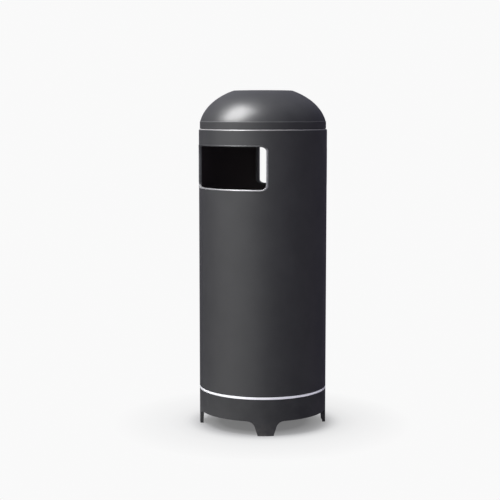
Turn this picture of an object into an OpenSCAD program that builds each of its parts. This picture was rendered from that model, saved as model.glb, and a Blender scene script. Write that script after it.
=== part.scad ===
// Free-standing street litter bin with a domed lid, two opposite throats and an ashtray let into
// the top of the dome. Millimetres, +Z up, origin on the ground under the axis. The throats face
// -Y and +Y, the lid hinge is at +Y and the lid lock at -Y, both above a throat.

/* [Body] */
// Outer diameter of the body and of the base
body_d = 420; // [400:1:460]
// Thickness of the body's rolled sheet
body_wall = 2.5; // [2:0.5:4]
// Height of the flat top of the dome
total_h = 1100; // [990:1:1210]
// Height of the lid, from the body's rim to the flat top of the dome
lid_h = 124; // [112:1:140]
// Height of the body's top rim, which carries the lid
rim_h = total_h - lid_h; // [880:1:1095]
// Outer radius of the bend at the top rim
rim_bend = 5.5; // [4:0.5:8]
// Width of the inward flange at the top rim, from the outside of the body
rim_flange = 22; // [20:0.5:26]

/* [Throats] */
// Clear width of a throat, straight across
throat_w = 297; // [240:1:300]
// Clear height of a throat
throat_h = 134; // [110:0.5:150]
// Drop from the rim to the top of a throat
throat_drop = 54.5; // [50:0.5:80]
// Height of the throat's sill
sill_h = rim_h - throat_drop - throat_h; // [690:0.5:795]
// Corner radius of a throat
throat_corner = 13; // [8:1:30]
// Width of the surround's lip around a throat
lip_w = 5; // [3:0.5:7]
// Depth of the surround, through the wall
lip_depth = 10; // [8:0.5:14]
// How far the lip stands proud of the body
lip_proud = 1; // [0.5:0.25:2]

/* [Base] */
// Height of the cast base
base_h = 118.5; // [105:0.5:130]
// Wall thickness of the cast base and its feet
base_wall = 10; // [8:0.5:12]
// Width of the inward flanges that bolt the base to the body, from the outside
joint_flange = 24; // [22:0.5:26]
// Thickness of the base's top flange and ledge
base_flange_t = 8; // [6:0.5:10]
// Height of the bright band between base and body
band_h = 7.5; // [6:0.5:14]
// Height of the arches between the feet
arch_h = 47; // [35:1:50]
// Width of a foot on the ground
foot_w = 51; // [40:1:70]
// Rake of a foot's sides from upright, in degrees
foot_rake = 18; // [8:1:22]
// Fillet radius between a foot and its arch
arch_fillet = 25; // [10:1:28]
// Height of the underside of the floor plate
floor_h = 62; // [60:1:66]
// Thickness of the floor plate
floor_t = 3; // [2:0.5:5]
// Diameter of the ground anchor holes
anchor_d = 14; // [10:0.5:14]
// Inset of the ground anchor holes from the outside of the base
anchor_inset = 32; // [31:0.5:34]
// Diameter of the circle of ground anchor holes
anchor_pcd = body_d - 2 * anchor_inset; // [352:1:358]

/* [Lid] */
// How far the lid's skirt stands in from the body's side
skirt_inset = 3.5; // [3:0.25:5]
// Height of the skirt above the rim, up to the crease
skirt_h = 24; // [20:1:26]
// Thickness of the skirt ring
skirt_wall = 3; // [2:0.5:4]
// Thickness of the spun dome
dome_wall = 2; // [1.5:0.25:3]
// Ledge that the dome leaves at the top of the skirt
crease_ledge = 1; // [0.5:0.25:2]
// Diameter of the flat top
top_d = 192; // [186:1:210]
// Thickness of the rubber gasket under the lid
gasket_t = 3; // [2:0.5:4]

/* [Ashtray] */
// Diameter of the opening in the flat top
dish_d = 172; // [160:1:174]
// Depth of the stub plate below the flat top
dish_depth = 23; // [20:1:28]
// Outer diameter of the ash pan at its mouth
pan_d = 148; // [136:1:150]
// Depth of the ash pan below the stub plate
pan_h = 72; // [50:1:74]
// Sheet thickness of the ash pan
pan_wall = 1.5; // [1:0.25:2]
// Thickness of the stub plate
stub_t = 2.5; // [2:0.25:3]
// Width of the slots in the stub plate
slot_w = 14; // [10:0.5:16]
// Inset of the slots' middle line from the mouth of the ash pan
slot_inset = 12; // [11:0.5:14]
// Diameter of the circle that the slots lie on
slot_pcd = pan_d - 2 * slot_inset; // [118:1:126]
// Height of the raised stubbing face
stub_rise = 5; // [3:0.5:6]

/* [Liner] */
// Drop from a throat's sill to the top of the liner
liner_drop = 40.5; // [30:0.5:120]
// Height of the liner
liner_h = sill_h - liner_drop - floor_h - floor_t; // [600:1:690]
// Inset of the liner's bottom from the outside of the body
liner_inset = 52; // [51:0.5:60]
// Diameter of the liner's bottom
liner_bottom_d = body_d - 2 * liner_inset; // [300:1:318]
// Sheet thickness of the liner
liner_wall = 1.2; // [1:0.1:2]
// Radius of the liner's rolled rim
liner_bead = 3; // [2.5:0.25:4]
// Diameter of the liner handles' bar
bar_d = 8; // [6:0.5:10]
// Width of a liner handle, between the middles of its legs
handle_w = 92; // [80:1:110]
// Drop of a liner handle below its pivot
handle_drop = 75; // [60:1:85]

/* [Hinge and lock] */
// Width of the lid hinge
hinge_w = 60; // [50:1:70]
// Outer diameter of the hinge knuckles
knuckle_d = 9; // [8:0.5:10]
// Diameter of the hinge pin
pin_d = 5; // [4:0.5:6]
// Thickness of the hinge leaves
leaf_t = 2.6; // [2:0.2:3]
// Height of the hinge leaf on the body
leaf_h = 34; // [28:1:40]
// Diameter of the lock spindle
spindle_d = 10; // [8:0.5:12]
// Length of the lock cam from the spindle's axis
cam_l = 30; // [26:1:32]
// Thickness of the lock cam
cam_t = 4; // [3:0.5:5]

/* [Fasteners] */
// Diameter of the bolts between body, band and base
bolt_d = 8; // [6:1:8]
// Number of those bolts
bolt_count = 8; // [6:1:12]
// Diameter of the floor screws and of the hinge rivets
small_d = 5; // [4:0.5:6]

/* [Hidden] */
$fn = 200;

// Clearances between pieces
weld_gap = 0.1;      // welded or riveted pieces
run_gap = 0.05;      // a shaft in its bore, on the radius
hole_gap = 0.4;      // a fastener in its hole, on the radius
lift_gap = 3.5;      // the liner in the rim, on the radius
lid_gap = 0.3;       // the skirt above the rim
side_gap = 0.8;      // pieces that drop into one another, on the radius
knuckle_gap = 0.4;   // between two knuckles
cam_gap = 3;         // the locked cam under the rim flange

// Body and rim
body_r = body_d / 2;
body_in_r = body_r - body_wall;
rim_in_r = body_r - rim_flange;
band_z = base_h;
body_z = base_h + band_h;
joint_in_r = body_r - joint_flange;
base_in_r = body_r - base_wall;
bolt_ring_r = (joint_in_r + base_in_r) / 2;
band_proud = 0.3;

// Throat and its lip
throat_z = sill_h + throat_h / 2;
lip_gap = 0.25;
lip_round = [[0, -lip_depth], [0, -2], [0.14, -0.6], [0.5, 0], [0.86, -0.6], [1, -2], [1, -lip_depth]];
corner_steps = 6;
edge_steps = 16;

// Dome: an ellipse round the rim's level, through the crease and the edge of the flat top
skirt_r = body_r - skirt_inset;
skirt_in_r = skirt_r - skirt_wall;
crease_z = rim_h + skirt_h;
dome_foot_r = skirt_r - crease_ledge;
top_r = top_d / 2;
top_z = rim_h + lid_h;
dome_det = pow(dome_foot_r * lid_h, 2) - pow(top_r * skirt_h, 2);
dome_a = sqrt(dome_det / (pow(lid_h, 2) - pow(skirt_h, 2)));
dome_b = sqrt(dome_det / (pow(dome_foot_r, 2) - pow(top_r, 2)));
dome_lip_h = 6;
gasket_w = 8;
gasket_inset = 4;
gasket_in_r = rim_in_r + gasket_inset;
skirt_flange_z = rim_h + gasket_t;
skirt_flange_inset = 2;
skirt_flange_in_r = rim_in_r + skirt_flange_inset;

// Ashtray, from the top down
dish_r = dish_d / 2;
stub_z = top_z - dish_depth - stub_t;
pan_flange_z = stub_z - pan_wall;
seat_t = 2.5;
seat_z = pan_flange_z - seat_t;
pan_r = pan_d / 2;
seat_gap = 5;
seat_in_r = pan_r + seat_gap;
pan_flange_r = dish_r - side_gap;
pan_bottom_z = stub_z - pan_h;
pan_taper = 8;
pan_bottom_r = pan_r - pan_taper;
slot_r = slot_pcd / 2;
slot_angle = 56;
slot_count = 4;
rise_slope = 6;
rise_gap = 7;
rise_r = slot_r - slot_w / 2 - rise_gap - rise_slope;
bump_pitch = 10;
bump_r = 2.2;
bump_tip_r = 1.4;
bump_h = 1.2;
knob_r = 13;
knob_stem_r = 7;
knob_h = 14;
knob_bolt_d = 6;

// Floor and liner
floor_top = floor_h + floor_t;
floor_r = base_in_r - side_gap;
drain_d = 12;
drain_ring_r = 90;
drain_count = 6;
locator_w = 4;
locator_h = 4;
locator_gap = 3;
liner_top = floor_top + liner_h;
liner_rim_r = rim_in_r - lift_gap - liner_bead;
liner_bottom_r = liner_bottom_d / 2;
rib_r = 3;
rib_heights = [0.3, 0.62];

// Liner handles
bar_r = bar_d / 2;
bar_bend = 10;
lug_t = 4;
lug_r = 8;
pivot_drop = 33;
pivot_inset = 20;
lug_gap = 3;
pin_over = 1.5;
pivot_z = liner_top - pivot_drop;
pivot_r = liner_rim_r - pivot_inset;
lug_y = handle_w / 2 + bar_bend + lug_gap;
pin_end = lug_y + lug_t + pin_over;

// Hinge
knuckle_r = knuckle_d / 2;
hinge_gap = 0.3;
hinge_rise = 1;
hinge_y = body_r + hinge_gap + knuckle_r;
hinge_z = rim_h + hinge_rise;
knuckle_count = 5;
knuckle_w = (hinge_w - (knuckle_count - 1) * knuckle_gap) / knuckle_count;
stop_out = knuckle_r + hinge_rise;
stop_up = knuckle_r - hinge_gap;
leaf_top = rim_h - rim_bend - hinge_rise;
web_lap = 8;
lid_leaf_z = hinge_z + hinge_rise;
lid_leaf_top = crease_z - 2 * hinge_rise;
rivet_r = small_d / 2;
rivet_head_r = small_d * 0.8;
rivet_head_h = 2;
rivet_angle = asin(hinge_w / 3 / body_r);
rivet_rows = [leaf_top - leaf_h * 0.4, leaf_top - leaf_h * 0.78];
lid_rivet_z = (skirt_flange_z + skirt_wall + crease_z - dome_lip_h) / 2;

// Lock
lock_inset = 18;
lock_y = -(rim_in_r - lock_inset);
spindle_r = spindle_d / 2;
bracket_t = 3;
bracket_w = 44;
bracket_z = skirt_flange_z + skirt_wall;
bush_wall = 3;
bush_r = spindle_r + bush_wall;
bush_flange_r = bush_r + bush_wall;
bush_flange_t = 2;
bush_top = bracket_z + bracket_t + bush_flange_t;
cam_z = rim_h - body_wall - cam_gap - cam_t;
cam_w = 18;
shoulder_h = 8;
shoulder_r = spindle_r + bush_wall;
key_h = 11;
lock_nut_h = 5;
bush_z = cam_z + cam_t + lock_nut_h + hinge_rise;
collar_h = 5;

// A rectangle in a revolved profile, from one radius and height to another
module band2d(r0, r1, z0, z1) {
    translate([r0, z0]) square([r1 - r0, z1 - z0]);
}

// A plain ring about the axis
module ring(r0, r1, z0, z1) {
    rotate_extrude() band2d(r0, r1, z0, z1);
}

// A curved plate on the +Y side, as wide as the hinge
module hinge_plate(r0, r1, z0, z1) {
    half = asin(hinge_w / 2 / body_r);
    rotate([0, 0, 90 - half]) rotate_extrude(angle = 2 * half) band2d(r0, r1, z0, z1);
}

module rounded_rect(w, h, r) {
    difference() {
        square([w, h], center = true);
        for (sx = [-1, 1], sy = [-1, 1])
            translate([sx * (w / 2 - r), sy * (h / 2 - r)])
                difference() {
                    translate([sx * r, sy * r]) square(2 * r, center = true);
                    circle(r);
                }
    }
}

// Copies about the axis, evenly spaced from a first angle
module around(count, first = 0) {
    for (i = [0 : count - 1]) rotate([0, 0, first + i * 360 / count]) children();
}

// One foot seen from outside: raked sides, blended into the arches by fillets
module foot_outline() {
    rake = tan(foot_rake);
    slant = sqrt(1 + rake * rake);
    arch_z = arch_h - 0.5;
    fillet_z = arch_z - arch_fillet;
    fillet_x = foot_w / 2 + rake * fillet_z + arch_fillet * slant;
    touch = [fillet_x - arch_fillet / slant, fillet_z + arch_fillet * rake / slant];
    difference() {
        polygon([
            [-foot_w / 2, 0], [foot_w / 2, 0], touch, [fillet_x, arch_z], [fillet_x, arch_h + base_wall],
            [-fillet_x, arch_h + base_wall], [-fillet_x, arch_z], [-touch[0], touch[1]]
        ]);
        for (s = [-1, 1]) translate([s * fillet_x, fillet_z]) circle(arch_fillet);
    }
}

module base_ring() {
    color("#3c3c40") difference() {
        union() {
            rotate_extrude() {
                band2d(base_in_r, body_r, arch_h, base_h);
                band2d(joint_in_r, base_in_r, base_h - base_flange_t, base_h);
                band2d(joint_in_r, base_in_r, floor_h - base_flange_t, floor_h);
            }
            intersection() {
                ring(base_in_r, body_r, 0, arch_h + base_wall);
                around(4, 45)
                    translate([base_in_r - base_wall, 0, 0])
                        rotate([90, 0, 90]) linear_extrude(3 * base_wall) foot_outline();
            }
        }
        around(bolt_count) translate([bolt_ring_r, 0, base_h - base_flange_t - 1])
            cylinder(r = bolt_d / 2 + hole_gap, h = base_flange_t + 2);
        around(4) translate([bolt_ring_r, 0, floor_h - base_flange_t - 1])
            cylinder(r = small_d / 2 + hole_gap, h = base_flange_t + 2);
    }
}

module floor_plate() {
    locator_r = liner_bottom_r + locator_gap;
    color("#55565a") difference() {
        rotate_extrude() {
            band2d(0, floor_r, floor_h, floor_top);
            band2d(locator_r, locator_r + locator_w, floor_h, floor_top + locator_h);
        }
        around(4, 45) translate([anchor_pcd / 2, 0, floor_h - 1]) cylinder(d = anchor_d, h = floor_t + 2);
        around(4) translate([bolt_ring_r, 0, floor_h - 1])
            cylinder(r = small_d / 2 + hole_gap, h = floor_t + 2);
        around(drain_count) translate([drain_ring_r, 0, floor_h - 1]) cylinder(d = drain_d, h = floor_t + 2);
    }
}

module floor_screws() {
    color("#a9abad") around(4) translate([bolt_ring_r, 0, 0]) {
        translate([0, 0, floor_h - base_flange_t - 3]) cylinder(d = small_d, h = base_flange_t + floor_t + 3);
        translate([0, 0, floor_top]) cylinder(d = small_d * 2, h = small_d * 0.6);
    }
}

module trim_band() {
    color("#e4e5e8") difference() {
        ring(joint_in_r, body_r + band_proud, band_z, body_z);
        around(bolt_count) translate([bolt_ring_r, 0, band_z - 1])
            cylinder(r = bolt_d / 2 + hole_gap, h = band_h + 2);
    }
}

// The sheet's section: bottom flange and upright wall
module body_section() {
    band2d(joint_in_r, body_r, body_z, body_z + body_wall);
    band2d(body_in_r, body_r, body_z, rim_h - rim_bend);
}

// The pressed ring on the sheet's top edge: a bend and a flange that carries the lid
module rim_ring() {
    color("#48484c") rotate_extrude() {
        band2d(rim_in_r, body_r - rim_bend, rim_h - body_wall, rim_h);
        translate([body_r - rim_bend, rim_h - rim_bend]) intersection() {
            difference() {
                circle(rim_bend);
                circle(rim_bend - body_wall);
            }
            square(rim_bend);
        }
    }
}

module throat_cut() {
    grow = lip_w + lip_gap;
    translate([0, 0, throat_z]) rotate([90, 0, 0])
        linear_extrude(body_d + 20, center = true)
            rounded_rect(throat_w + 2 * grow, throat_h + 2 * grow, throat_corner + grow);
}

module body_shell() {
    color("#48484c") difference() {
        rotate_extrude() body_section();
        throat_cut();
        around(bolt_count) translate([bolt_ring_r, 0, body_z - 1])
            cylinder(r = bolt_d / 2 + hole_gap, h = body_wall + 2);
        hinge_rivet_line(rivet_rows, body_in_r - 5, body_r + 5, rivet_r + hole_gap);
    }
}

module joint_bolts() {
    grip = body_wall + band_h + base_flange_t;
    nut_h = bolt_d * 0.8;
    color("#a9abad") around(bolt_count) translate([bolt_ring_r, 0, body_z + body_wall]) {
        translate([0, 0, -grip - nut_h - 2]) cylinder(d = bolt_d, h = grip + nut_h + 2);
        cylinder(r = bolt_d * 0.92, h = bolt_d * 0.65, $fn = 6);
    }
}

module joint_nuts() {
    nut_h = bolt_d * 0.8;
    color("#a9abad") around(bolt_count) translate([bolt_ring_r, 0, base_h - base_flange_t - nut_h])
        difference() {
            rotate([0, 0, 30]) cylinder(r = bolt_d * 0.92, h = nut_h, $fn = 6);
            translate([0, 0, -1]) cylinder(r = bolt_d / 2 + run_gap, h = nut_h + 2);
        }
}

// Points and outward normals round a throat's edge, in x and z about its middle
function throat_corner_at(k) = [
    (k == 0 || k == 3 ? 1 : -1) * (throat_w / 2 - throat_corner),
    (k < 2 ? 1 : -1) * (throat_h / 2 - throat_corner)
];
function throat_path() = [
    for (k = [0 : 3]) each concat(
        [for (i = [0 : corner_steps])
            let (a = 90 * k + 90 * i / corner_steps, n = [cos(a), sin(a)])
            [throat_corner_at(k) + throat_corner * n, n]],
        k % 2 == 0
            ? [for (i = [1 : edge_steps - 1])
                let (t = i / edge_steps, x = throat_corner_at(k)[0] * (1 - 2 * t), n = [0, k == 0 ? 1 : -1])
                [[x, throat_corner_at(k)[1] + throat_corner * n[1]], n]]
            : []
    )
];

// The lip runs round the throat with one rounded section, bent to the body's curve
module throat_surround() {
    path = throat_path();
    rings = len(path);
    sides = len(lip_round);
    face_r = body_r + lip_proud;
    points = [
        for (p = path, s = lip_round)
            let (q = p[0] + p[1] * s[0] * lip_w, r = face_r + s[1])
            [q[0], -sqrt(r * r - q[0] * q[0]), throat_z + q[1]]
    ];
    faces = [
        for (i = [0 : rings - 1], j = [0 : sides - 1])
            let (a = i * sides, b = (i + 1) % rings * sides, k = (j + 1) % sides)
            each [[a + j, b + j, b + k], [a + j, b + k, a + k]]
    ];
    polyhedron(points, faces);
}

module throat_surround_front() {
    color("#48484c") throat_surround();
}

module throat_surround_rear() {
    color("#48484c") rotate([0, 0, 180]) throat_surround();
}

module lid_gasket() {
    color("#1c1c1e") ring(gasket_in_r, gasket_in_r + gasket_w, rim_h, rim_h + gasket_t);
}

// Radial shanks for the hinge rivets, at both sides of the hinge and at each height
module hinge_rivet_line(heights, r0, r1, r) {
    for (z = heights, s = [-1, 1])
        rotate([0, 0, 90 + s * rivet_angle]) translate([r0, 0, z]) rotate([0, 90, 0]) cylinder(r = r, h = r1 - r0);
}

// Every second knuckle from the first, each with a web between two heights to its leaf
module knuckles(first, web_y, web_z0, web_z1) {
    web_end = hinge_y - 1;
    for (i = [first : 2 : knuckle_count - 1])
        translate([-hinge_w / 2 + i * (knuckle_w + knuckle_gap), 0, 0]) {
            translate([0, hinge_y, hinge_z]) rotate([0, 90, 0]) cylinder(r = knuckle_r, h = knuckle_w);
            translate([0, web_y, web_z0]) cube([knuckle_w, web_end - web_y, web_z1 - web_z0]);
        }
}

module pin_bore() {
    translate([-hinge_w / 2 - 1, hinge_y, hinge_z]) rotate([0, 90, 0])
        cylinder(r = pin_d / 2 + run_gap, h = hinge_w + 2);
}

// Cuts a leaf to the round face that it lies on
module leaf_seat(r) {
    translate([0, 0, leaf_top - leaf_h - 1]) cylinder(r = r, h = leaf_h + rim_bend + skirt_h + 3);
}

// The middle knuckle has a square corner, on which the lid's leaf lands when the lid is wide open
module hinge_body_leaf() {
    seat_r = body_r + weld_gap;
    color("#3c3c40") difference() {
        union() {
            hinge_plate(body_in_r, seat_r + leaf_t, leaf_top - leaf_h, leaf_top);
            knuckles(0, body_in_r, leaf_top - web_lap, hinge_z - knuckle_r / 2);
            translate([-knuckle_w / 2, hinge_y - 1, hinge_z - 1])
                cube([knuckle_w, stop_out + 1, stop_up + 1]);
        }
        leaf_seat(seat_r);
        pin_bore();
        hinge_rivet_line(rivet_rows, body_in_r, seat_r + leaf_t + 2, rivet_r + hole_gap);
    }
}

module hinge_pin() {
    head_h = 2;
    color("#c4c6c9") translate([0, hinge_y, hinge_z]) rotate([0, 90, 0]) {
        cylinder(d = pin_d, h = hinge_w + 1, center = true);
        for (s = [-1, 1]) translate([0, 0, s * (hinge_w / 2 + 0.5 + head_h / 2)])
            cylinder(r = knuckle_r - 0.5, h = head_h, center = true);
    }
}

// Rivets with a flat round head on both sides of what they hold
module hinge_rivets(heights, r0, r1) {
    hinge_rivet_line(heights, r0 - rivet_head_h, r1 + rivet_head_h, rivet_r);
    hinge_rivet_line(heights, r0 - rivet_head_h, r0 - weld_gap, rivet_head_r);
    hinge_rivet_line(heights, r1 + weld_gap, r1 + rivet_head_h, rivet_head_r);
}

module hinge_body_rivets() {
    color("#a9abad") hinge_rivets(rivet_rows, body_in_r, body_r + weld_gap + leaf_t);
}

// The quarter of the dome's ellipse, shrunk evenly by an inset
module dome_half(inset) {
    translate([0, rim_h]) scale([1, (dome_b - inset) / (dome_a - inset)]) circle(dome_a - inset);
}

module dome_section() {
    difference() {
        intersection() {
            dome_half(0);
            band2d(dish_r, body_r, crease_z, top_z);
        }
        intersection() {
            dome_half(dome_wall);
            band2d(0, body_r, crease_z - 1, top_z - dome_wall);
        }
    }
    band2d(skirt_in_r - weld_gap - dome_wall, skirt_in_r - weld_gap, crease_z - dome_lip_h, crease_z + 3);
}

module dome_shell() {
    color("#505056") rotate_extrude() dome_section();
}

module lid_skirt() {
    round_r = crease_ledge;
    color("#48484c") difference() {
        rotate_extrude() {
            band2d(skirt_in_r, skirt_r, rim_h + lid_gap, crease_z - round_r);
            band2d(skirt_in_r, skirt_r - round_r, rim_h + lid_gap, crease_z);
            translate([skirt_r - round_r, crease_z - round_r]) intersection() {
                circle(round_r);
                square(round_r);
            }
            band2d(skirt_flange_in_r, skirt_in_r, skirt_flange_z, skirt_flange_z + skirt_wall);
        }
        hinge_rivet_line([lid_rivet_z], skirt_in_r - 2, skirt_r + 5, rivet_r + hole_gap);
    }
}

module ash_seat() {
    color("#3c3c40") rotate_extrude() {
        band2d(seat_in_r, dish_r + seat_t, seat_z, seat_z + seat_t);
        band2d(dish_r, dish_r + seat_t, seat_z, top_z - dome_wall);
    }
}

module hinge_lid_leaf() {
    seat_r = skirt_r + weld_gap;
    color("#3c3c40") difference() {
        union() {
            hinge_plate(skirt_in_r, seat_r + leaf_t, lid_leaf_z, lid_leaf_top);
            knuckles(1, skirt_in_r, hinge_z, hinge_z + knuckle_r * 0.8);
        }
        leaf_seat(seat_r);
        pin_bore();
        hinge_rivet_line([lid_rivet_z], skirt_in_r, seat_r + leaf_t + 2, rivet_r + hole_gap);
    }
}

module hinge_lid_rivets() {
    color("#a9abad") hinge_rivets([lid_rivet_z], skirt_in_r, skirt_r + weld_gap + leaf_t);
}

module lock_bracket() {
    back_y = lock_y + bracket_w / 2;
    color("#3c3c40") translate([0, 0, bracket_z]) difference() {
        intersection() {
            translate([-bracket_w / 2, -body_r, 0]) cube([bracket_w, body_r + back_y, bracket_t]);
            cylinder(r = skirt_in_r - weld_gap, h = bracket_t);
        }
        translate([0, lock_y, -1]) cylinder(r = bush_r + weld_gap, h = bracket_t + 2);
    }
}

module lock_bush() {
    color("#b5a36a") translate([0, lock_y, 0]) rotate_extrude() {
        band2d(spindle_r + run_gap, bush_r, bush_z, bush_top);
        band2d(spindle_r + run_gap, bush_flange_r, bush_top - bush_flange_t, bush_top);
    }
}

// The spindle ends below in a shoulder and a three-sided drive for the key
module lock_spindle() {
    shoulder_z = cam_z - shoulder_h;
    color("#c4c6c9") translate([0, lock_y, 0]) {
        translate([0, 0, cam_z]) cylinder(r = spindle_r, h = bush_top + collar_h - cam_z);
        translate([0, 0, shoulder_z]) cylinder(r = shoulder_r, h = shoulder_h);
        translate([0, 0, shoulder_z - key_h]) cylinder(r = spindle_r, h = key_h, $fn = 3);
    }
}

module lock_cam() {
    color("#c4c6c9") translate([0, lock_y, cam_z]) difference() {
        union() {
            cylinder(d = cam_w, h = cam_t);
            translate([0, -cam_w / 2, 0]) cube([cam_l - cam_w / 2, cam_w, cam_t]);
            translate([cam_l - cam_w / 2, 0, 0]) cylinder(d = cam_w, h = cam_t);
        }
        translate([0, 0, -1]) cylinder(r = spindle_r + run_gap, h = cam_t + 2);
    }
}

module lock_nut() {
    color("#a9abad") translate([0, lock_y, cam_z + cam_t]) difference() {
        cylinder(r = spindle_r * 1.7, h = lock_nut_h, $fn = 6);
        translate([0, 0, -1]) cylinder(r = spindle_r + run_gap, h = lock_nut_h + 2);
    }
}

module spindle_collar() {
    color("#a9abad") translate([0, lock_y, 0])
        ring(spindle_r + run_gap, bush_r + 1, bush_top + weld_gap, bush_top + collar_h);
}

module ash_pan() {
    color("#b9bbbd") rotate_extrude() {
        band2d(pan_r - pan_wall, pan_flange_r, pan_flange_z, stub_z);
        polygon([
            [pan_bottom_r - pan_wall, pan_bottom_z], [pan_bottom_r, pan_bottom_z],
            [pan_r, stub_z], [pan_r - pan_wall, stub_z]
        ]);
        band2d(0, pan_bottom_r - pan_wall / 2, pan_bottom_z, pan_bottom_z + pan_wall);
    }
}

module stub_slot() {
    half = slot_angle / 2;
    translate([0, 0, stub_z - 1]) {
        rotate([0, 0, -half]) rotate_extrude(angle = slot_angle)
            band2d(slot_r - slot_w / 2, slot_r + slot_w / 2, 0, stub_t + 2);
        for (s = [-1, 1]) rotate([0, 0, s * half]) translate([slot_r, 0, 0]) cylinder(d = slot_w, h = stub_t + 2);
    }
}

// A flat rim with slots, rising to a round stubbing face that is studded with bumps
module stub_plate() {
    foot_r = rise_r + rise_slope;
    face_z = stub_z + stub_rise;
    color("#c4c6c9") difference() {
        union() {
            rotate_extrude() {
                band2d(foot_r - stub_t, pan_flange_r, stub_z, stub_z + stub_t);
                polygon([
                    [foot_r - stub_t, stub_z], [foot_r, stub_z + stub_t], [rise_r, face_z + stub_t],
                    [rise_r - stub_t, face_z]
                ]);
                band2d(0, rise_r, face_z, face_z + stub_t);
            }
            for (k = [1 : 2]) around(10 * k, 9) translate([rise_r - (3 - k) * bump_pitch, 0, face_z])
                cylinder(r1 = bump_r, r2 = bump_tip_r, h = stub_t + bump_h);
        }
        around(slot_count) stub_slot();
        translate([0, 0, face_z - 1]) cylinder(r = knob_bolt_d / 2 + hole_gap, h = stub_t + 2);
    }
}

module stub_knob() {
    z = stub_z + stub_rise + stub_t;
    head_z = z + knob_h - 7;
    color("#c4c6c9") rotate_extrude() difference() {
        union() {
            band2d(0, knob_stem_r, z, head_z + 1);
            intersection() {
                translate([0, z + knob_h - knob_r * 1.6]) circle(knob_r * 1.6);
                band2d(0, knob_r, head_z, z + knob_h);
            }
        }
        band2d(-1, knob_bolt_d / 2 + run_gap, z - 1, z + knob_h - 4);
    }
}

module knob_bolt() {
    z = stub_z + stub_rise;
    color("#a9abad") translate([0, 0, z]) {
        translate([0, 0, -4]) cylinder(r = knob_bolt_d * 0.92, h = 4, $fn = 6);
        cylinder(d = knob_bolt_d, h = stub_t + knob_h - 5);
    }
}

// Inner radius of the liner's tapered wall at a height
function liner_r(z) = liner_bottom_r - liner_wall
    + (liner_rim_r + liner_wall / 2 - liner_bottom_r) * (z - floor_top) / (liner_h - liner_bead);

module liner_bucket() {
    rim_z = liner_top - liner_bead;
    color("#b9bbbd") rotate_extrude() {
        polygon([
            [liner_r(floor_top), floor_top], [liner_r(floor_top) + liner_wall, floor_top],
            [liner_r(rim_z) + liner_wall, rim_z], [liner_r(rim_z), rim_z]
        ]);
        band2d(0, liner_bottom_r - liner_wall / 2, floor_top, floor_top + liner_wall);
        translate([liner_rim_r, rim_z]) circle(liner_bead);
        for (t = rib_heights)
            translate([liner_r(floor_top + t * liner_h) + liner_wall / 2, floor_top + t * liner_h]) circle(rib_r);
    }
}

// Ears on the liner's wall that carry the ends of the handles
module liner_lugs() {
    wall_r = liner_r(pivot_z - lug_r) - weld_gap;
    color("#a9abad") for (side = [0, 180], s = [-1, 1]) rotate([0, 0, side]) difference() {
        intersection() {
            translate([pivot_r, s * (lug_y + lug_t / 2), pivot_z]) rotate([90, 0, 0])
                linear_extrude(lug_t, center = true) {
                    circle(lug_r);
                    translate([0, -lug_r]) square([pivot_inset, 2 * lug_r]);
                }
            cylinder(r = wall_r, h = liner_top);
        }
        translate([pivot_r, 0, pivot_z]) rotate([90, 0, 0])
            cylinder(r = bar_r + run_gap, h = 3 * lug_y, center = true);
    }
}

// A quarter bend of the bar in the plane of Y and Z, from a first angle
module bar_quarter(first) {
    rotate([90, 0, 90]) rotate([0, 0, first]) rotate_extrude(angle = 90) translate([bar_bend, 0]) circle(bar_r);
}

module bar_run(from, to, along) {
    length = to - from;
    translate(along == "y" ? [0, from, 0] : [0, 0, from])
        rotate(along == "y" ? [-90, 0, 0] : [0, 0, 0]) cylinder(r = bar_r, h = length);
}

// A drop handle that hangs from its two turned-out ends
module liner_handle() {
    leg_y = handle_w / 2;
    low_z = -handle_drop + bar_bend;
    color("#a9abad") translate([pivot_r, 0, pivot_z]) {
        for (s = [0, 1]) mirror([0, s, 0]) {
            bar_run(leg_y + bar_bend, pin_end, "y");
            translate([0, leg_y + bar_bend, -bar_bend]) bar_quarter(90);
            translate([0, leg_y, 0]) bar_run(low_z, -bar_bend, "z");
            translate([0, leg_y - bar_bend, low_z]) bar_quarter(270);
        }
        translate([0, 0, -handle_drop]) bar_run(-leg_y + bar_bend, leg_y - bar_bend, "y");
    }
}

module liner_handle_left() {
    rotate([0, 0, 180]) liner_handle();
}

module liner_handle_right() {
    liner_handle();
}

base_ring();
floor_plate();
floor_screws();
trim_band();
body_shell();
rim_ring();
joint_bolts();
joint_nuts();
throat_surround_front();
throat_surround_rear();
lid_gasket();
hinge_body_leaf();
hinge_pin();
hinge_body_rivets();
dome_shell();
lid_skirt();
ash_seat();
hinge_lid_leaf();
hinge_lid_rivets();
lock_bracket();
lock_bush();
lock_spindle();
lock_cam();
lock_nut();
spindle_collar();
ash_pan();
stub_plate();
stub_knob();
knob_bolt();
liner_bucket();
liner_lugs();
liner_handle_left();
liner_handle_right();
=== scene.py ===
import math

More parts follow.
